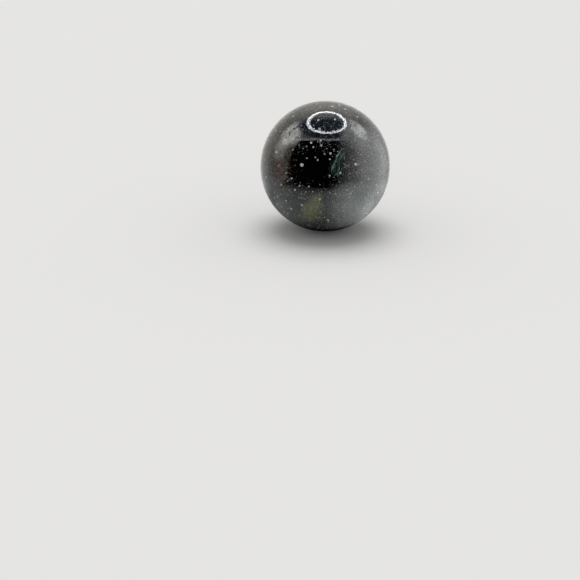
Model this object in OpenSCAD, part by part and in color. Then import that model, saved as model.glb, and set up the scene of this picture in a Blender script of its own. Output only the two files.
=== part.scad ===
// A hand-made glass marble of dark glass. Bright flakes and dust of mica lie just under
// its surface, with a wisp of green glass and patches of coloured crushed glass below them.
// Millimetres. The origin is the ball's centre, +Z is up and -Y is the showing side.

/* [Ball] */
// Diameter of the finished ball
ball_d = 32; // [24:0.5:50]
// Angle above the horizon from which the showing side is seen
face_tilt = 15; // [0:1:60]

/* [Mica flecks] */
// Thickness of a fleck
mica_t = 0.15; // [0.08:0.01:0.25]
// Smallest width of a fleck
mica_min = 0.4; // [0.3:0.05:0.6]
// Largest width of a fleck
mica_max = 1.1; // [0.8:0.05:1.2]
// Least glass over the middle of a fleck
mica_top = 0.5; // [0.4:0.05:0.8]
// Most glass over the middle of a fleck
mica_deep = 1.3; // [0.9:0.05:1.6]
// Most that a fleck leans away from lying flat, in degrees
mica_lean = 22; // [0:1:30]
// Clear space between the middles of flecks that are scattered at random
mica_gap = 2; // [1.6:0.1:3]
// Number of flecks in the whole ball
mica_count = 108; // [40:1:120]

/* [Mica dust] */
// Smallest width of a crumb of dust
dust_min = 0.2; // [0.15:0.01:0.25]
// Largest width of a crumb
dust_max = 0.36; // [0.28:0.01:0.44]
// Thickness of a crumb as a share of its width
dust_flat = 0.4; // [0.3:0.05:0.6]
// Least glass over the middle of a crumb
dust_top = 0.4; // [0.3:0.05:0.8]
// Most glass over the middle of a crumb
dust_deep = 1.5; // [1:0.05:1.6]
// Clear space between the middles of crumbs
dust_gap = 1.2; // [0.9:0.1:2]
// Number of crumbs in the whole ball
dust_count = 280; // [100:10:300]

/* [Green wisp] */
// Thickness of a strand, across the depth of the glass
wisp_t = 0.3; // [0.2:0.05:0.5]
// Width of a strand at its middle
wisp_w = 0.38; // [0.25:0.01:0.5]
// Length of the longest strand
wisp_len = 6.2; // [5:0.1:8]

/* [Crushed glass] */
// Smallest width of a grain
frit_min = 0.3; // [0.2:0.05:0.4]
// Largest width of a grain
frit_max = 0.6; // [0.45:0.05:0.7]
// Thickness of a grain as a share of its width
frit_flat = 0.6; // [0.4:0.05:0.8]
// Depth through which the grains of a patch are spread
frit_spread = 0.7; // [0.3:0.1:1.2]
// Number of grains in the olive patch
olive_count = 26; // [12:1:30]
// Number of grains in the brown patch
brown_count = 30; // [12:1:34]

/* [Layers] */
// Clear glass between the mica and the colours below it, and between flecks and dust
layer_gap = 0.2; // [0.1:0.05:0.5]

/* [Hidden] */

ball_r = ball_d / 2;
colour_deep = max(mica_deep + mica_max / 2, dust_deep + dust_max / 2) + layer_gap;
round_fn = 180;

// Flecks of the showing side: across and up from its middle, as shares of the ball's
// radius, and the width as a share of the largest
SHOWN_FLECKS = [
    [-0.35, 0.02, 1], [0.47, 0.04, 0.73], [-0.06, 0.32, 0.64], [-0.73, 0.21, 0.64],
    [-0.11, 0.1, 0.55], [-0.15, 0.14, 0.4], [0.08, 0.2, 0.6], [-0.01, 0.19, 0.45],
    [0.07, 0.11, 0.4], [-0.27, 0.12, 0.4], [-0.49, 0.25, 0.4], [0.13, 0.26, 0.4],
    [-0.59, -0.1, 0.55], [-0.5, -0.18, 0.5], [-0.45, -0.35, 0.55], [-0.38, -0.29, 0.45],
    [-0.24, -0.3, 0.45], [-0.35, -0.59, 0.55], [0.23, -0.09, 0.64], [0.07, -0.13, 0.45],
    [-0.18, 0.29, 0.45], [-0.22, 0.36, 0.6], [-0.28, 0.3, 0.36], [-0.07, 0.39, 0.55],
    [-0.09, 0.56, 0.73], [-0.11, 0.7, 0.55], [0.14, 0.7, 0.55], [0.09, 0.9, 0.8],
    [0.4, -0.4, 0.55], [0.06, -0.81, 0.55], [-0.07, -0.48, 0.4], [-0.66, -0.28, 0.5],
    [-0.77, -0.48, 0.45], [-0.59, -0.52, 0.45], [-0.72, -0.58, 0.4], [-0.51, -0.65, 0.55],
    [-0.56, -0.72, 0.45]
];

// Part of the sphere round the middle of the showing side, as an angle, that takes no
// random flecks
shown_cap = 62;

// Share of the dust that stays where it falls, away from the clouds
DUST_THIN = 0.3;
// Clouds of dust: middle across and up on the showing side as shares of the radius, reach
// as an angle, and the share of the dust that stays there besides
DUST_CLOUDS = [
    [0.75, -0.3, 65, 0.6], [0.1, -0.7, 50, 0.4], [-0.1, 0.55, 40, 0.4], [-0.8, -0.3, 45, 0.4],
    [-0.1, -0.1, 32, -0.5]
];

// The wisp's middle on the showing side, as shares of the radius
WISP_AT = [0.18, 0.05];
// Its strands: middle across and up from the wisp's, as shares of the longest strand,
// then direction in degrees, length as a share of the longest, and bow as a share of
// the strand's own length
STRANDS = [
    [-0.03, 0.11, 65, 1, 0.1], [-0.09, 0.02, 74, 0.8, 0.12], [0.02, -0.12, 58, 0.72, 0.08],
    [0.24, -0.06, -32, 0.36, -0.14], [0.1, -0.2, 80, 0.5, 0.1], [0.2, 0.12, 48, 0.42, -0.1],
    [0.24, -0.22, 66, 0.3, 0.12]
];

// Middle of each patch of crushed glass on the showing side, and its reach across and up,
// as shares of the radius
OLIVE_AT = [-0.18, -0.64];
OLIVE_REACH = [0.2, 0.19];
BROWN_AT = [-0.71, -0.15];
BROWN_REACH = [0.13, 0.37];

// Corners of a fleck, of a crumb of dust and of a grain
MICA_CORNERS = 6;
DUST_CORNERS = 4;
FRIT_CORNERS = 5;
// Shortest reach of a corner, as a share of the longest
CORNER_MIN = 0.68;
// Most that a grain is moved from its even place in the patch
FRIT_SHIFT = 0.12;
// Turn from one grain to the next that spreads them evenly
GOLDEN_TURN = 137.5;
// Steps of depth over which the grains of a patch are spread
FRIT_LAYERS = 3;
// Turn of each fleck in its own plane from the one before
MICA_TURN = 47;
// Random directions tried for each fleck or crumb that is wanted
TRIES_EACH = 4;

// First of the starting numbers of each set of random draws, so that they come out the
// same each time
FLECK_SEED = 11;
DUST_SEED = 21;
CHIP_SEED = 100;
OLIVE_SEED = 300;
BROWN_SEED = 400;
CRUMB_SEED = 500;

// Direction of a point on the showing side, from its shares across and up
function shown_dir(at) =
    let (toward = sqrt(1 - at.x * at.x - at.y * at.y))
    [at.x,
     at.y * sin(face_tilt) - toward * cos(face_tilt),
     at.y * cos(face_tilt) + toward * sin(face_tilt)];

// Random directions, even all round the ball
function random_dirs(count, seed) =
    let (rise = rands(-1, 1, count, seed), turn = rands(0, 360, count, seed + 1))
    [for (i = [0 : count - 1])
        let (level = sqrt(1 - rise[i] * rise[i]))
        [level * cos(turn[i]), level * sin(turn[i]), rise[i]]];

// True if a direction is farther than a gap, on the surface, from all the kept ones
function is_apart(dir, kept, gap) =
    len(kept) == 0 || min([for (other = kept) norm(dir - other)]) * ball_r > gap;

// Adds to the kept directions each candidate that is apart from them, up to the most
function gathered(tried, most, gap, kept = [], i = 0) =
    i == len(tried) || len(kept) >= most ? kept
    : gathered(tried, most, gap,
        is_apart(tried[i], kept, gap) ? concat(kept, [tried[i]]) : kept, i + 1);

FLECK_DIRS = gathered(
    [for (dir = random_dirs(TRIES_EACH * mica_count, FLECK_SEED))
        if (dir * shown_dir([0, 0]) < cos(shown_cap)) dir],
    mica_count, mica_gap, [for (fleck = SHOWN_FLECKS) shown_dir([fleck.x, fleck.y])]
);
FLECKS = len(FLECK_DIRS);
FLECK_DEEP = rands(mica_top, mica_deep, FLECKS, FLECK_SEED + 2);
FLECK_CHANCE = rands(0, 1, FLECKS, FLECK_SEED + 3);
FLECK_LEAN = rands(-mica_lean, mica_lean, 2 * FLECKS, FLECK_SEED + 4);

// Most of the random flecks are small: their width follows the square of chance
function fleck_width(i) =
    i < len(SHOWN_FLECKS) ? mica_max * SHOWN_FLECKS[i].z
    : mica_min + (mica_max - mica_min) * FLECK_CHANCE[i] * FLECK_CHANCE[i];

// Sum of a list of numbers, from its place i on
function total(numbers, i = 0) = i == len(numbers) ? 0 : numbers[i] + total(numbers, i + 1);

// Share of the dust that stays in a direction: more in the clouds, fading to their edges
function dust_share(dir) =
    DUST_THIN + total([for (cloud = DUST_CLOUDS)
        cloud[3] * max(0, 1 - acos(dir * shown_dir([cloud.x, cloud.y])) / cloud.z)]);

// True if a crumb in this direction is clear of every fleck
function is_off_flecks(dir) =
    min([for (i = [0 : FLECKS - 1])
        norm(dir - FLECK_DIRS[i]) * ball_r - fleck_width(i) / 2]) > dust_max / 2 + layer_gap;

DUST_TRIES = random_dirs(3 * TRIES_EACH * dust_count, DUST_SEED);
DUST_STAYS = rands(0, 1, len(DUST_TRIES), DUST_SEED + 2);
DUST_DIRS = gathered(
    [for (i = [0 : len(DUST_TRIES) - 1])
        if (DUST_STAYS[i] < dust_share(DUST_TRIES[i]) && is_off_flecks(DUST_TRIES[i]))
            DUST_TRIES[i]],
    dust_count, dust_gap
);
CRUMBS = len(DUST_DIRS);
CRUMB_DEEP = rands(dust_top, dust_deep, CRUMBS, DUST_SEED + 3);
CRUMB_WIDTH = rands(dust_min, dust_max, CRUMBS, DUST_SEED + 4);
CRUMB_LEAN = rands(-mica_lean, mica_lean, 2 * CRUMBS, DUST_SEED + 5);

// Stands its children on a ray from the ball's centre, with their X to the right and
// their Y up for someone who looks at the ball from there
module on_ray(dir, radius) {
    rotate([0, 90 - asin(dir.z), atan2(dir.y, dir.x)])
        translate([0, 0, radius])
            rotate([0, 0, 90])
                children();
}

// A flat piece with uneven corners
module chip(width, thickness, corners, seed) {
    reach = rands(CORNER_MIN, 1, corners, seed);
    linear_extrude(height = thickness, center = true)
        polygon([for (k = [0 : corners - 1])
            width / 2 * reach[k] * [cos(360 * k / corners), sin(360 * k / corners)]]);
}

// A blade drawn by two arcs that meet at its tips, bowed to the left of its direction
module crescent(length, bow, width) {
    outer = abs(bow) + width;
    inner = abs(bow);
    outer_r = (length * length / 4 + outer * outer) / (2 * outer);
    inner_r = (length * length / 4 + inner * inner) / (2 * inner);
    mirror([0, bow < 0 ? 1 : 0])
        difference() {
            translate([0, outer - outer_r])
                circle(r = outer_r, $fn = round_fn);
            translate([0, inner - inner_r])
                circle(r = inner_r, $fn = round_fn);
        }
}

// Grains of crushed glass, spread over an oval patch of the showing side
module frit_patch(at, reach, count, seed) {
    shift = rands(-FRIT_SHIFT, FRIT_SHIFT, 2 * count, seed);
    chance = rands(0, 1, count, seed + 1);
    turn = rands(0, 360, 2 * count, seed + 2);
    for (i = [0 : count - 1]) {
        width = frit_min + (frit_max - frit_min) * chance[i];
        out = sqrt((i + 0.5) / count);
        place = at + [
            reach.x * (out * cos(GOLDEN_TURN * i) + shift[2 * i]),
            reach.y * (out * sin(GOLDEN_TURN * i) + shift[2 * i + 1])
        ];
        sunk = colour_deep + frit_max / 2 + frit_spread * (i % FRIT_LAYERS) / (FRIT_LAYERS - 1);
        on_ray(shown_dir(place), ball_r - sunk)
            rotate([turn[2 * i], turn[2 * i + 1], 0])
                chip(width, frit_flat * width, FRIT_CORNERS, seed + 3 + i);
    }
}

// Mica flakes that the hot glass was rolled in before its last coat
module mica_flecks() {
    color("silver")
        for (i = [0 : FLECKS - 1])
            on_ray(FLECK_DIRS[i], ball_r - FLECK_DEEP[i])
                rotate([FLECK_LEAN[2 * i], FLECK_LEAN[2 * i + 1], MICA_TURN * i])
                    chip(fleck_width(i), mica_t, MICA_CORNERS, CHIP_SEED + i);
}

// The larger crumbs of the dust that came with the flakes
module mica_dust() {
    color("lightgray")
        for (i = [0 : CRUMBS - 1])
            on_ray(DUST_DIRS[i], ball_r - CRUMB_DEEP[i])
                rotate([CRUMB_LEAN[2 * i], CRUMB_LEAN[2 * i + 1], MICA_TURN * i])
                    chip(CRUMB_WIDTH[i], dust_flat * CRUMB_WIDTH[i], DUST_CORNERS,
                        CRUMB_SEED + i);
}

// Strands of green glass that follow the curve of the ball at one depth
module green_wisp() {
    color("seagreen")
        intersection() {
            difference() {
                sphere(r = ball_r - colour_deep, $fn = round_fn);
                sphere(r = ball_r - colour_deep - wisp_t, $fn = round_fn);
            }
            on_ray(shown_dir(WISP_AT), 0)
                linear_extrude(height = ball_r)
                    for (strand = STRANDS)
                        translate(wisp_len * [strand[0], strand[1]])
                            rotate(strand[2])
                                crescent(wisp_len * strand[3],
                                    wisp_len * strand[3] * strand[4], wisp_w * strand[3]);
        }
}

// Olive grains, low on the showing side
module olive_frit() {
    color("olive")
        frit_patch(OLIVE_AT, OLIVE_REACH, olive_count, OLIVE_SEED);
}

// Brown grains, along the left of the showing side
module brown_frit() {
    color("saddlebrown")
        frit_patch(BROWN_AT, BROWN_REACH, brown_count, BROWN_SEED);
}

// The ball itself, with a pocket round everything that is fused into it
module dark_glass() {
    color([0.1, 0.1, 0.12, 0.4])
        difference() {
            sphere(r = ball_r, $fn = round_fn);
            mica_flecks();
            mica_dust();
            green_wisp();
            olive_frit();
            brown_frit();
        }
}

mica_flecks();
mica_dust();
green_wisp();
olive_frit();
brown_frit();
dark_glass();
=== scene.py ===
import math

import bmesh
import bpy
import numpy as np
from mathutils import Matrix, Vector, noise


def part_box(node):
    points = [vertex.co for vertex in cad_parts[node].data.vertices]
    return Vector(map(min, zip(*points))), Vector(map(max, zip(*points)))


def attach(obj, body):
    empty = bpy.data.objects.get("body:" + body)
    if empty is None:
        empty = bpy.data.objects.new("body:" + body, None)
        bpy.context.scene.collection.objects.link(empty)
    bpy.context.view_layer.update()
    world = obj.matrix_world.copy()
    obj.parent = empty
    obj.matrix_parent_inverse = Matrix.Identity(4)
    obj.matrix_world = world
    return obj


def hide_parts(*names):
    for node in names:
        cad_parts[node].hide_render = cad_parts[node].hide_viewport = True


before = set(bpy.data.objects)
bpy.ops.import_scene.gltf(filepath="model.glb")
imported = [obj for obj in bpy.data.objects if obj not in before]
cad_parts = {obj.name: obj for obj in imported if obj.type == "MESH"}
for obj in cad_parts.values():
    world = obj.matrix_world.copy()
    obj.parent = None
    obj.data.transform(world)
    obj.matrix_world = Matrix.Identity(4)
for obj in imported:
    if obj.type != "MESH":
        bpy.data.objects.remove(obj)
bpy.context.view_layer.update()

bpy.context.scene.view_settings.view_transform = "Standard"

# The ball is one gather of dark melt that was rolled in mica and crushed colours, coated once
# more, turned round in a wet wooden cup and left fire-polished. It is clear for a few
# millimetres and black below that.

ball_low, ball_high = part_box("dark_glass")
ball_radius = (ball_high.z - ball_low.z) / 2
white = (1, 1, 1, 1)
coat_splits = 7
coat_swell = 0.00003
coat_spread = 0.005
glass_index = 1.5
melt_density = 250
melt_colour = (0.05, 0.06, 0.08, 1)


def new_finish(name):
    """A new material, its node tree and its main shader."""
    finish = bpy.data.materials.new(name)
    finish.use_nodes = True
    return finish, finish.node_tree, finish.node_tree.nodes["Principled BSDF"]


def add_node(tree, kind, inputs=(), **settings):
    """A node with its settings, and its inputs by name or number: values, or sockets to link."""
    node = tree.nodes.new(kind)
    for setting, value in settings.items():
        setattr(node, setting, value)
    for key, value in dict(inputs).items():
        if isinstance(value, bpy.types.NodeSocket):
            tree.links.new(value, node.inputs[key])
        else:
            node.inputs[key].default_value = value
    return node


def melted_ball(name, radius, splits, swell, spread):
    """A ball as hand work leaves it: its surface wanders inwards by up to swell."""
    shape = bmesh.new()
    bmesh.ops.create_icosphere(shape, subdivisions=splits, radius=radius)
    for point in shape.verts:
        wander = 0.5 + 0.5 * noise.noise(point.co / spread)
        point.co *= 1 - swell * wander / radius
    for face in shape.faces:
        face.smooth = True
    mesh = bpy.data.meshes.new(name)
    shape.to_mesh(mesh)
    shape.free()
    return mesh


def add_piece(name, mesh, finish):
    """Makes a mesh a piece of the marble, in the finish of one of its glasses."""
    mesh.materials.append(finish)
    piece = bpy.data.objects.new(name, mesh)
    bpy.context.scene.collection.objects.link(piece)
    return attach(piece, "root")


coat_finish, coat_tree, coat_shader = new_finish("dark_melt")
coat_shader.inputs["Base Color"].default_value = white
coat_shader.inputs["Transmission Weight"].default_value = 1
coat_shader.inputs["Roughness"].default_value = 0
coat_shader.inputs["IOR"].default_value = glass_index

# Only what the eye sees through the surface is bent by it: light for what lies inside passes
# straight in, and loses its strength to the melt on the way.
coat_rays = add_node(coat_tree, "ShaderNodeLightPath")
coat_straight = add_node(coat_tree, "ShaderNodeBsdfTransparent")
coat_look = coat_shader.outputs["BSDF"]
for ray in ("Is Shadow Ray", "Is Diffuse Ray", "Is Glossy Ray"):
    coat_look = add_node(
        coat_tree, "ShaderNodeMixShader",
        {0: coat_rays.outputs[ray], 1: coat_look, 2: coat_straight.outputs["BSDF"]},
    ).outputs["Shader"]
coat_end = coat_tree.nodes["Material Output"]
coat_tree.links.new(coat_look, coat_end.inputs["Surface"])
coat_melt = add_node(
    coat_tree, "ShaderNodeVolumeAbsorption", {"Color": melt_colour, "Density": melt_density}
)
coat_tree.links.new(coat_melt.outputs["Volume"], coat_end.inputs["Volume"])

coat_mesh = melted_ball("polished_glass", ball_radius, coat_splits, coat_swell, coat_spread)
polished_glass = add_piece("polished_glass", coat_mesh, coat_finish)
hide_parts("dark_glass")

# Mica flakes, mined and crushed, that stuck to the hot gather. They are split from layers,
# so each is flat and pearly, and no two catch the light alike.

mica_colours = ((0.34, 0.34, 0.33, 1), (1, 0.99, 0.96, 1))
mica_grain = (1150, 9000)
mica_roughness = 0.34
mica_shine = 0.7
mica_step = 0.00004
step_strength = 0.5
fine_share = 0.35
colour_ends = (0.36, 0.62)


def mottled_finish(name, roughness, colours, grain, step=0):
    """A finish mottled from piece to piece and, more finely, within each, in steps if asked."""
    finish, tree, shader = new_finish(name)
    shader.inputs["Roughness"].default_value = roughness
    place = add_node(tree, "ShaderNodeTexCoord").outputs["Object"]
    broad = add_node(tree, "ShaderNodeTexNoise", {"Vector": place, "Scale": grain[0], "Detail": 1})
    fine = add_node(tree, "ShaderNodeTexNoise", {"Vector": place, "Scale": grain[1], "Detail": 2})
    both = add_node(
        tree, "ShaderNodeMix", {0: fine_share, 2: broad.outputs["Fac"], 3: fine.outputs["Fac"]}
    )
    ramp = add_node(tree, "ShaderNodeValToRGB", {"Fac": both.outputs[0]})
    for end, position, colour in zip(ramp.color_ramp.elements, colour_ends, colours):
        end.position = position
        end.color = colour
    tree.links.new(ramp.outputs["Color"], shader.inputs["Base Color"])
    if step:
        layers = add_node(
            tree, "ShaderNodeBump",
            {"Height": fine.outputs["Fac"], "Strength": step_strength, "Distance": step},
        )
        tree.links.new(layers.outputs["Normal"], shader.inputs["Normal"])
    return finish


def dress(node, finish):
    """Gives the solids of one node a finish."""
    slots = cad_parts[node].data.materials
    slots.clear()
    slots.append(finish)


mica_finish = mottled_finish("pearly_mica", mica_roughness, mica_colours, mica_grain, mica_step)
mica_shader = mica_finish.node_tree.nodes["Principled BSDF"]
mica_shader.inputs["Specular IOR Level"].default_value = mica_shine
dress("mica_flecks", mica_finish)

# Mica dust from the same crushed batch. Its larger crumbs lie between the flakes one by
# one, and the finer ones are too many to count, thin in front and thick to the right.

face_tilt = math.radians(15)
dust_colours = ((0.5, 0.5, 0.5, 1), (0.95, 0.95, 0.93, 1))
dust_grain = (700, 5000)
dust_roughness = 0.45
coarse_count = 4400
coarse_width = (0.00009, 0.0002)
coarse_seed = 21
fine_count = 13000
fine_width = (0.00005, 0.0001)
fine_seed = 22
dust_depth = (0.00022, 0.0021)
crumb_lean = 0.35
crumb_flat = 0.35
crumb_stretch = 0.5
mostly_small = 2.5


def shown_direction(across, up):
    """Direction from the ball's centre to a point of its showing side, from shares of the radius."""
    toward = math.sqrt(max(0, 1 - across * across - up * up))
    return Vector((
        across,
        up * math.sin(face_tilt) - toward * math.cos(face_tilt),
        up * math.cos(face_tilt) + toward * math.sin(face_tilt),
    ))


dust_everywhere = 0.34
# Each cloud in the dust, or clearing where less than nothing is added: its middle, how much
# it adds there, and its reach in degrees
dust_clouds = (
    (shown_direction(0.8, -0.25), 0.5, 60),
    (shown_direction(0.15, -0.75), 0.2, 50),
    (shown_direction(-0.1, 0.6), 0.2, 40),
    (shown_direction(-0.8, -0.3), 0.1, 45),
    (shown_direction(-0.12, -0.02), -0.38, 36),
)
clump_grain = 7
clump_noise = (0.8, 2, 5)
clump_strength = 2.2


def nearness(direction, middle, reach):
    """1 in the middle of a round patch of the ball, falling softly to 0 at its reach in degrees."""
    away = math.degrees(direction.angle(middle)) / reach
    return max(0, 1 - away * away) ** 2


def dustiness(direction):
    """Share of the dust that stays where it fell in this direction."""
    clumps = 0.5 + 0.5 * noise.fractal(direction * clump_grain, *clump_noise)
    dust = dust_everywhere
    for middle, amount, reach in dust_clouds:
        dust += amount * nearness(direction, middle, reach)
    return max(0, dust) * clumps * clumps * clump_strength


def dust_places(draw, count):
    """Directions all round the ball, as many as asked, thicker where the dust is thicker."""
    places = []
    while len(places) < count:
        direction = Vector(draw.normal(size=3)).normalized()
        if draw.random() < dustiness(direction):
            places.append(direction)
    return places


def crumb_mesh(name, draw, places, width, depth):
    """Flat six-pointed crumbs, each closed, in these directions and at random depths."""
    points, faces = [], []
    for direction in places:
        half = 0.5 * (width[0] + (width[1] - width[0]) * draw.random() ** mostly_small)
        centre = direction * (ball_radius - depth[0] - (depth[1] - depth[0]) * draw.random())
        lean = Vector(draw.normal(scale=crumb_lean, size=3))
        flat = (direction + lean).normalized()
        side = flat.orthogonal().normalized()
        other = flat.cross(side)
        turn = draw.random() * math.tau
        side, other = (
            side * math.cos(turn) + other * math.sin(turn),
            other * math.cos(turn) - side * math.sin(turn),
        )
        longer = half * (1 + crumb_stretch * draw.random())
        first = len(points)
        points += [
            centre + side * longer,
            centre + other * half,
            centre - side * half,
            centre - other * longer,
            centre + flat * crumb_flat * half,
            centre - flat * crumb_flat * half,
        ]
        for corner in range(4):
            here, after = first + corner, first + (corner + 1) % 4
            faces += [(here, after, first + 4), (after, here, first + 5)]
    mesh = bpy.data.meshes.new(name)
    mesh.from_pydata(points, [], faces)
    return mesh


dust_finish = mottled_finish("mica_dust", dust_roughness, dust_colours, dust_grain)
dress("mica_dust", dust_finish)
for name, count, width, seed in (
    ("mica_dust_coarse", coarse_count, coarse_width, coarse_seed),
    ("mica_dust_fine", fine_count, fine_width, fine_seed),
):
    draw = np.random.default_rng(seed)
    dust_mesh = crumb_mesh(name, draw, dust_places(draw, count), width, dust_depth)
    add_piece(name, dust_mesh, dust_finish)

# The green wisp is a stringer of green glass that was laid on the gather and combed out
# into a feather of tapering strands, with green powder along it and in a smear to its left.

green_colours = ((0.03, 0.2, 0.13, 1), (0.42, 0.66, 0.55, 1))
green_grain = (900, 5000)
green_roughness = 0.4
wisp_depth = 0.002
wisp_flat = 0.45
# Each strand: start, bend and end on the showing side as shares of the radius, then its
# width in the middle
strands = (
    ((0.27, 0.30), (0.18, 0.17), (0.10, -0.08), 0.00024),
    ((0.25, 0.26), (0.20, 0.18), (0.18, 0.12), 0.00034),
    ((0.20, 0.13), (0.15, 0.08), (0.115, -0.02), 0.00024),
    ((0.17, 0.06), (0.125, 0.02), (0.10, -0.06), 0.0004),
    ((0.155, 0.03), (0.14, 0.0), (0.12, -0.06), 0.00024),
    ((0.14, 0.05), (0.12, 0.0), (0.105, -0.06), 0.00056),
    ((0.205, 0.2), (0.18, 0.17), (0.17, 0.13), 0.0006),
    ((0.13, -0.01), (0.105, -0.05), (0.10, -0.12), 0.00024),
    ((0.26, 0.06), (0.31, 0.045), (0.35, 0.0), 0.00024),
    ((0.22, 0.04), (0.25, -0.06), (0.15, -0.14), 0.0003),
    ((0.23, 0.09), (0.22, 0.03), (0.225, -0.03), 0.0003),
    ((0.31, 0.01), (0.33, -0.01), (0.34, -0.04), 0.0002),
    ((0.31, 0.24), (0.25, 0.16), (0.22, 0.09), 0.00024),
    ((0.26, -0.03), (0.25, -0.10), (0.18, -0.17), 0.0002),
)
strand_rings = 26
strand_sides = 8
strand_tip = 0.04
strand_fullness = 0.7
strand_wave = 0.008
strand_share = 0.8
strand_unevenness = 0.5
# Steps through the noise: along a strand, and from one strand to the next
wave_steps = (4, 7)
uneven_steps = (0.35, 5)
uneven_layer = 3
powder_colours = ((0.02, 0.13, 0.09, 1), (0.25, 0.5, 0.4, 1))
powder_grain = (1200, 6000)
powder_roughness = 0.5
powder_width = (0.00005, 0.0001)
powder_depth = (0.0009, 0.0021)
wisp_line = ((0.27, 0.26), (0.17, 0.06), (0.14, -0.14))
wisp_powder = 900
wisp_scatter = (0.045, 0.03)
smear_at = (-0.55, -0.35)
smear_powder = 500
smear_scatter = (0.05, 0.08)
green_seed = 31


def on_arc(start, bend, end, way):
    """A point part of the way along an arc, from its start, bend and end."""
    return [
        (1 - way) ** 2 * a + 2 * way * (1 - way) * b + way ** 2 * c
        for a, b, c in zip(start, bend, end)
    ]


def strand_mesh(name, depth, strands, flat, rings, sides):
    """Closed tapering strands that follow the curve of the ball at one depth."""
    points, faces = [], []
    for number, (start, bend, end, width) in enumerate(strands):
        line = []
        for ring in range(rings + 1):
            way = ring / rings
            across, up = on_arc(start, bend, end, way)
            wave = noise.noise(Vector((way * wave_steps[0], number * wave_steps[1], 0)))
            wave *= strand_wave
            line.append(shown_direction(across + wave, up - wave))
        first = len(points)
        for ring, direction in enumerate(line):
            ahead = line[min(ring + 1, rings)] - line[max(ring - 1, 0)]
            aside = direction.cross(ahead).normalized()
            taper = max(strand_tip, math.sin(math.pi * ring / rings)) ** strand_fullness
            spot = Vector((ring * uneven_steps[0], number * uneven_steps[1], uneven_layer))
            uneven = strand_share + strand_unevenness * noise.noise(spot)
            half = width / 2 * taper * uneven
            centre = direction * (ball_radius - depth)
            for side in range(sides):
                angle = math.tau * side / sides
                out = direction * half * flat * math.sin(angle)
                points.append(centre + aside * half * math.cos(angle) + out)
        for ring in range(rings):
            for side in range(sides):
                here = first + ring * sides + side
                after = first + ring * sides + (side + 1) % sides
                faces.append((here, after, after + sides, here + sides))
        faces.append(tuple(first + side for side in reversed(range(sides))))
        faces.append(tuple(first + rings * sides + side for side in range(sides)))
    mesh = bpy.data.meshes.new(name)
    mesh.from_pydata(points, [], faces)
    mesh.polygons.foreach_set("use_smooth", [len(face) == 4 for face in faces])
    return mesh


def scattered(draw, middle, scatter):
    """Direction to a grain that fell near a point of the showing side."""
    return shown_direction(
        middle[0] + draw.normal(0, scatter[0]), middle[1] + draw.normal(0, scatter[1])
    )


green_finish = mottled_finish("green_stringer", green_roughness, green_colours, green_grain)
wisp_mesh = strand_mesh("green_feather", wisp_depth, strands, wisp_flat, strand_rings, strand_sides)
green_feather = add_piece("green_feather", wisp_mesh, green_finish)
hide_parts("green_wisp")

powder_finish = mottled_finish("green_powder", powder_roughness, powder_colours, powder_grain)
draw = np.random.default_rng(green_seed)
powder_places = [
    scattered(draw, on_arc(*wisp_line, draw.random()), wisp_scatter) for _ in range(wisp_powder)
]
powder_places += [scattered(draw, smear_at, smear_scatter) for _ in range(smear_powder)]
powder_mesh = crumb_mesh("green_powder", draw, powder_places, powder_width, powder_depth)
add_piece("green_powder", powder_mesh, powder_finish)

# Crushed coloured glass, melted on under the mica: olive in a fan low on the showing side,
# and brown along its left. Fine powder of each colour lies between the grains.

olive_colours = ((0.3, 0.32, 0.06, 1), (0.55, 0.58, 0.2, 1))
olive_top = (-0.09, -0.42)
olive_foot = (-0.3, -0.84)
olive_footward = 0.6
olive_scatter = 0.03
olive_fan = 0.1
olive_powder = 8000
olive_seed = 41
brown_colours = ((0.24, 0.1, 0.06, 1), (0.48, 0.28, 0.2, 1))
brown_at = (-0.7, -0.08)
brown_scatter = (0.08, 0.26)
brown_powder = 6000
brown_seed = 51

olive_finish = mottled_finish("olive_crushed_glass", powder_roughness, olive_colours, powder_grain)
dress("olive_frit", olive_finish)
draw = np.random.default_rng(olive_seed)
olive_places = []
for _ in range(olive_powder):
    way = draw.random() ** olive_footward
    middle = [top + way * (foot - top) for top, foot in zip(olive_top, olive_foot)]
    olive_places.append(scattered(draw, middle, (olive_scatter + olive_fan * way, olive_scatter)))
olive_mesh = crumb_mesh("olive_powder", draw, olive_places, powder_width, powder_depth)
add_piece("olive_powder", olive_mesh, olive_finish)

brown_finish = mottled_finish("brown_crushed_glass", powder_roughness, brown_colours, powder_grain)
dress("brown_frit", brown_finish)
draw = np.random.default_rng(brown_seed)
brown_places = [scattered(draw, brown_at, brown_scatter) for _ in range(brown_powder)]
brown_mesh = crumb_mesh("brown_powder", draw, brown_places, powder_width, powder_depth)
add_piece("brown_powder", brown_mesh, brown_finish)

# The floor is a plain pale board. In the mirror of the glass it is painted light instead: an emission,
# brighter to the right, with a painted shadow dark under the ball, painted shade behind it and painted
# dark toward the open front, and it soon gives way to the walls and open front of the light box.

floor_reach = 1.1
floor_colour = (0.8, 0.795, 0.78, 1)
# Painted light that the glass mirrors from the floor: its tint, its levels on the left and right, and the
# azimuth and turn where it brightens
painted_glow_tint = (0.94, 1, 0.99, 1)
painted_glow_left = 0.85
painted_glow_right = 2.85
mirror_azimuth = 66
mirror_turn = (0.35, 0.95)
# Painted shadow under the ball, where the board ends in the mirror, painted shade behind the ball, and
# painted dark toward the open front
contact_shade = (0.0055, 0.022)
board_edge = (0.035, 0.1)
back_shade = 0.65
back_near = (0.018, 0.042)
back_edge = (-0.006, 0.006)
open_front = (0.033, 0.06)
open_left = 20
open_left_edge = (-0.05, 0.07)
open_right = -63
open_right_edge = (-0.2, 0.45)


def compass(azimuth):
    """Level direction: 0 degrees faces the showing side, and 90 is to its right."""
    turn = math.radians(azimuth)
    return math.sin(turn), -math.cos(turn), 0


def ramp_along(tree, value, low, high):
    """0 below low, 1 above high and soft between."""
    return add_node(
        tree, "ShaderNodeMapRange", {"Value": value, "From Min": low, "From Max": high},
        interpolation_type="SMOOTHSTEP",
    ).outputs["Result"]


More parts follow.
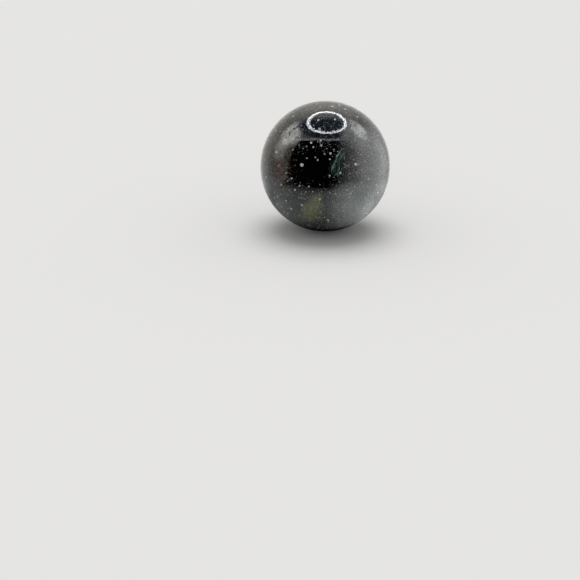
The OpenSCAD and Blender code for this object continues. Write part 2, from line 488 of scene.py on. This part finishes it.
def along(tree, vector, direction):
    """How far a vector reaches in a direction."""
    return add_node(
        tree, "ShaderNodeVectorMath", {0: vector, 1: direction}, operation="DOT_PRODUCT"
    ).outputs["Value"]


def combine(tree, how, first, second):
    """Two numbers or sockets joined by a sum, product or other rule."""
    return add_node(tree, "ShaderNodeMath", {0: first, 1: second}, operation=how).outputs["Value"]


def without(tree, value, mask):
    """A value, taken to 0 where the mask is 1."""
    return combine(tree, "MULTIPLY", value, combine(tree, "SUBTRACT", 1, mask))


floor_finish = bpy.data.materials.new("pale_board")
floor_finish.use_nodes = True
floor_tree = floor_finish.node_tree
floor_tree.nodes.clear()
floor_place = add_node(floor_tree, "ShaderNodeNewGeometry").outputs["Position"]
floor_level = add_node(
    floor_tree, "ShaderNodeVectorMath", {0: floor_place, 1: (1, 1, 0)}, operation="MULTIPLY"
).outputs["Vector"]
floor_out = add_node(
    floor_tree, "ShaderNodeVectorMath", {0: floor_level}, operation="LENGTH"
).outputs["Value"]
floor_way = add_node(
    floor_tree, "ShaderNodeVectorMath", {0: floor_level}, operation="NORMALIZE"
).outputs["Vector"]

# Painted light, brighter to the right, with a painted shadow under the ball
painted_glow_side = ramp_along(floor_tree, along(floor_tree, floor_way, compass(mirror_azimuth)), *mirror_turn)
mirrored = combine(
    floor_tree, "ADD", painted_glow_left, combine(floor_tree, "MULTIPLY", painted_glow_side, painted_glow_right - painted_glow_left)
)
mirrored = combine(floor_tree, "MULTIPLY", mirrored, ramp_along(floor_tree, floor_out, *contact_shade))
# Painted shade behind the ball
floor_near = combine(floor_tree, "SUBTRACT", 1, ramp_along(floor_tree, floor_out, *back_near))
floor_behind = ramp_along(floor_tree, along(floor_tree, floor_place, (0, 1, 0)), *back_edge)
floor_shade = combine(floor_tree, "MULTIPLY", floor_near, floor_behind)
mirrored = without(floor_tree, mirrored, combine(floor_tree, "MULTIPLY", back_shade, floor_shade))
# Painted dark where the glass mirrors the open front
floor_open = combine(
    floor_tree, "MULTIPLY",
    ramp_along(floor_tree, along(floor_tree, floor_way, compass(open_left)), *open_left_edge),
    ramp_along(floor_tree, along(floor_tree, floor_way, compass(open_right)), *open_right_edge),
)
floor_open = combine(floor_tree, "MULTIPLY", floor_open, ramp_along(floor_tree, floor_out, *open_front))

floor_plain = add_node(floor_tree, "ShaderNodeBsdfDiffuse", {"Color": floor_colour})
# Glossy rays see the floor as an emission of this painted light
floor_painted_glow = add_node(
    floor_tree, "ShaderNodeEmission",
    {"Color": painted_glow_tint, "Strength": without(floor_tree, mirrored, floor_open)},
)
floor_rays = add_node(floor_tree, "ShaderNodeLightPath")
floor_gone = add_node(floor_tree, "ShaderNodeBsdfTransparent")
floor_mirrored = add_node(
    floor_tree, "ShaderNodeMixShader",
    {
        0: ramp_along(floor_tree, floor_out, *board_edge),
        1: floor_painted_glow.outputs["Emission"],
        2: floor_gone.outputs["BSDF"],
    },
)
floor_look = add_node(
    floor_tree, "ShaderNodeMixShader",
    {
        0: floor_rays.outputs["Is Glossy Ray"],
        1: floor_plain.outputs["BSDF"],
        2: floor_mirrored.outputs["Shader"],
    },
)
add_node(floor_tree, "ShaderNodeOutputMaterial", {"Surface": floor_look.outputs["Shader"]})

floor_mesh = bpy.data.meshes.new("floor")
floor_mesh.from_pydata(
    [(floor_reach * x, floor_reach * y, -ball_radius) for x, y in ((-1, -1), (1, -1), (1, 1), (-1, 1))],
    [], [(0, 1, 2, 3)],
)
floor_mesh.materials.append(floor_finish)
floor = bpy.data.objects.new("floor", floor_mesh)
bpy.context.scene.collection.objects.link(floor)

# A ring of small lamps hangs over the marble in a light box with pale walls. One soft sun
# as wide as the ring gives its light, and the box itself shows only in the glass.

ring_axis = (172, 80.5)
ring_reach = 24
ring_band = 2.0
ring_ragged = 3
ring_grain = 40
ring_gaps = (0.25, 0.6)
ring_strength = 17
noise_middle = 0.5
band_edges = (0.5, 1.5)
sun_tilt = 9.5
sun_strength = 1.35
plain_level = 0.56
backdrop_colour = (0.8, 0.795, 0.78, 1)
wall_level = 0.95
warm_wall = (1, 0.985, 0.92, 1)
cool_wall = (0.98, 1, 0.99, 1)
cool_azimuth = 82
cool_turn = (-0.3, 0.7)
# Each patch of light or shade on the walls, then each cloud: azimuth and elevation of its
# middle, the degrees from there within which it is whole and beyond which it is gone, and
# its strength
wall_patches = (
    (97, 2, 10, 52, 2.0),
    (95, 52, 5, 34, 1.3),
    (180, 55, 10, 35, 0.5),
    (-80, 2, 5, 45, -0.5),
    (-99, 21, 4, 20, 1.4),
    (-82, 44, 3, 13, 1.5),
)
cloud_patches = (
    (113, 45, 3, 18, 3.8),
    (-103, 40, 5, 24, 4.4),
)
cloud_grain = 5
cloud_gap_ends = (0.32, 0.6)
front_edge = (-0.48, -0.2)
dark_lid = (0.45, 0.68, 1, 1)
lid_level = 0.26
lid_reach = (33, 39)
lid_right = (0.28, 0.5)
lip_axis = (180, 63)
lip_reach = 55.3
lip_soft = 1
lip_band = 1.7
lip_left = (-0.82, -0.7)
lip_strength = 1.8
wall_open_left = (-0.05, 0.05)
wall_open_right = (-0.36, 0.14)
wall_open_lean = 0.15

sun_lamp = bpy.data.lights.new("lamp_ring", "SUN")
sun_lamp.energy = sun_strength
sun_lamp.angle = math.radians(2 * ring_reach)
sun = bpy.data.objects.new("lamp_ring", sun_lamp)
sun.rotation_euler = (-math.radians(sun_tilt), 0, 0)
sun.visible_glossy = False
bpy.context.scene.collection.objects.link(sun)


def box_direction(azimuth, elevation):
    """Direction in the light box: azimuth as on the floor, and elevation above it."""
    rise = math.radians(elevation)
    x, y, _ = compass(azimuth)
    return x * math.cos(rise), y * math.cos(rise), math.sin(rise)


def within(tree, view, direction, inner, outer):
    """1 within inner degrees of a direction in the light box, and 0 beyond outer."""
    return ramp_along(
        tree, along(tree, view, direction), math.cos(math.radians(outer)), math.cos(math.radians(inner))
    )


def glow(tree, view, azimuth, elevation, inner, outer, strength):
    """A soft round patch of light in the light box."""
    patch = within(tree, view, box_direction(azimuth, elevation), inner, outer)
    return combine(tree, "MULTIPLY", patch, strength)


def hoop(tree, view, axis, reach, band, wander=0):
    """1 on a thin circle round an axis in the light box, which wanders by an angle if asked."""
    from_axis = add_node(
        tree, "ShaderNodeMath", {0: along(tree, view, box_direction(*axis))}, operation="ARCCOSINE"
    ).outputs["Value"]
    from_axis = combine(tree, "ADD", from_axis, wander)
    off_band = add_node(
        tree, "ShaderNodeMath", {0: combine(tree, "SUBTRACT", from_axis, math.radians(reach))},
        operation="ABSOLUTE",
    ).outputs["Value"]
    whole, gone = (math.radians(band * edge) for edge in band_edges)
    off = ramp_along(tree, off_band, whole, gone)
    return combine(tree, "SUBTRACT", 1, off)


world = bpy.data.worlds.new("light_box")
bpy.context.scene.world = world
world.use_nodes = True
box_tree = world.node_tree
box_tree.nodes.clear()
view = add_node(box_tree, "ShaderNodeTexCoord").outputs["Generated"]

# The pale walls, with soft patches and, on either side, a bright cloud with gaps.
walls = wall_level
for patch in wall_patches:
    walls = combine(box_tree, "ADD", walls, glow(box_tree, view, *patch))
clouds = 0
for patch in cloud_patches:
    clouds = combine(box_tree, "ADD", clouds, glow(box_tree, view, *patch))
cloud_noise = add_node(
    box_tree, "ShaderNodeTexNoise", {"Vector": view, "Scale": cloud_grain, "Detail": 4, "Distortion": 1}
)
cloud_gaps = ramp_along(box_tree, cloud_noise.outputs["Fac"], *cloud_gap_ends)
walls = combine(box_tree, "ADD", walls, combine(box_tree, "MULTIPLY", clouds, cloud_gaps))

# The open front, and over it the dark lid that carries the ring, with a pale lip.
front = ramp_along(box_tree, along(box_tree, view, (0, -1, 0)), *front_edge)
rightness = along(box_tree, view, (1, 0, 0))
under_lid = within(
    box_tree, view, box_direction(*lip_axis), lip_reach - lip_soft, lip_reach + lip_soft
)
lid_disc = within(box_tree, view, box_direction(*ring_axis), *lid_reach)
lid_width = without(box_tree, lid_disc, ramp_along(box_tree, rightness, *lid_right))
lid = combine(box_tree, "MULTIPLY", combine(box_tree, "MULTIPLY", front, lid_width), under_lid)
right_edge = compass(open_right)[:2] + (wall_open_lean,)
opening = combine(
    box_tree, "MULTIPLY",
    ramp_along(box_tree, along(box_tree, view, compass(open_left)), *wall_open_left),
    ramp_along(box_tree, along(box_tree, view, right_edge), *wall_open_right),
)
opening = without(box_tree, opening, under_lid)
walls = without(box_tree, without(box_tree, walls, opening), lid)
walls = combine(box_tree, "ADD", walls, combine(box_tree, "MULTIPLY", lid, lid_level))
lip_width = without(
    box_tree, ramp_along(box_tree, rightness, *lip_left), ramp_along(box_tree, rightness, *lid_right)
)
lip = combine(box_tree, "MULTIPLY", hoop(box_tree, view, lip_axis, lip_reach, lip_band), lip_width)
lip = combine(box_tree, "MULTIPLY", lip, front)

# The ring of lamps, uneven in width and in light.
ring_noise = add_node(
    box_tree, "ShaderNodeTexNoise", {"Vector": view, "Scale": ring_grain, "Detail": 3}
).outputs["Fac"]
ring_wander = combine(
    box_tree, "MULTIPLY",
    combine(box_tree, "SUBTRACT", ring_noise, noise_middle), math.radians(ring_ragged),
)
ring = combine(
    box_tree, "MULTIPLY",
    hoop(box_tree, view, ring_axis, ring_reach, ring_band, ring_wander),
    ramp_along(box_tree, ring_noise, *ring_gaps),
)
lamps = combine(
    box_tree, "ADD",
    combine(box_tree, "MULTIPLY", lip, lip_strength), combine(box_tree, "MULTIPLY", ring, ring_strength),
)

to_right = ramp_along(box_tree, along(box_tree, view, compass(cool_azimuth)), *cool_turn)
wall_tint = add_node(
    box_tree, "ShaderNodeMix", {0: to_right, 6: warm_wall, 7: cool_wall}, data_type="RGBA"
).outputs[2]
wall_tint = add_node(
    box_tree, "ShaderNodeMix", {0: lid, 6: wall_tint, 7: dark_lid}, data_type="RGBA"
).outputs[2]
wall_back = add_node(box_tree, "ShaderNodeBackground", {"Color": wall_tint, "Strength": walls})
lamp_back = add_node(box_tree, "ShaderNodeBackground", {"Color": white, "Strength": lamps})
box_back = add_node(
    box_tree, "ShaderNodeAddShader",
    {0: wall_back.outputs["Background"], 1: lamp_back.outputs["Background"]},
)

# What the eye sees beyond the marble is a plain backdrop, and all else gets plain light.
plain_back = add_node(box_tree, "ShaderNodeBackground", {"Color": white, "Strength": plain_level})
seen_back = add_node(box_tree, "ShaderNodeBackground", {"Color": backdrop_colour, "Strength": 1})
box_rays = add_node(box_tree, "ShaderNodeLightPath")
mirrored_ray = combine(
    box_tree, "MAXIMUM", box_rays.outputs["Is Glossy Ray"], box_rays.outputs["Is Transmission Ray"]
)
lit_back = add_node(
    box_tree, "ShaderNodeMixShader",
    {0: mirrored_ray, 1: plain_back.outputs["Background"], 2: box_back.outputs["Shader"]},
)
whole_back = add_node(
    box_tree, "ShaderNodeMixShader",
    {
        0: box_rays.outputs["Is Camera Ray"],
        1: lit_back.outputs["Shader"],
        2: seen_back.outputs["Background"],
    },
)
add_node(box_tree, "ShaderNodeOutputWorld", {"Surface": whole_back.outputs["Shader"]})

# The camera looks down at the showing side from the photograph's distance and height, and
# holds the ball in the photograph's place, right of the middle and high.

photo_side = 580
photo_focal = 880
ball_pixel = (325, 166.7)
camera_distance = 0.22
camera_height = math.radians(15)
camera_sensor = 36

# The tip and the turn that bring the middle of the ball to its pixel
pixel_x = (ball_pixel[0] - photo_side / 2) / photo_focal
pixel_y = (photo_side / 2 - ball_pixel[1]) / photo_focal
reach = math.sqrt(1 + pixel_x ** 2 + pixel_y ** 2)
tip = math.acos(reach * math.sin(camera_height) / math.hypot(1, pixel_y)) - math.atan(pixel_y)
turn = math.atan2(pixel_x, pixel_y * math.cos(tip) + math.sin(tip))
camera_data = bpy.data.cameras.new("camera")
camera_data.sensor_width = camera_sensor
camera_data.lens = camera_data.sensor_width * photo_focal / photo_side
camera = bpy.data.objects.new("camera", camera_data)
camera.location = (
    0, -camera_distance * math.cos(camera_height), camera_distance * math.sin(camera_height)
)
camera.rotation_euler = (tip, 0, turn)
bpy.context.scene.collection.objects.link(camera)
bpy.context.scene.camera = camera
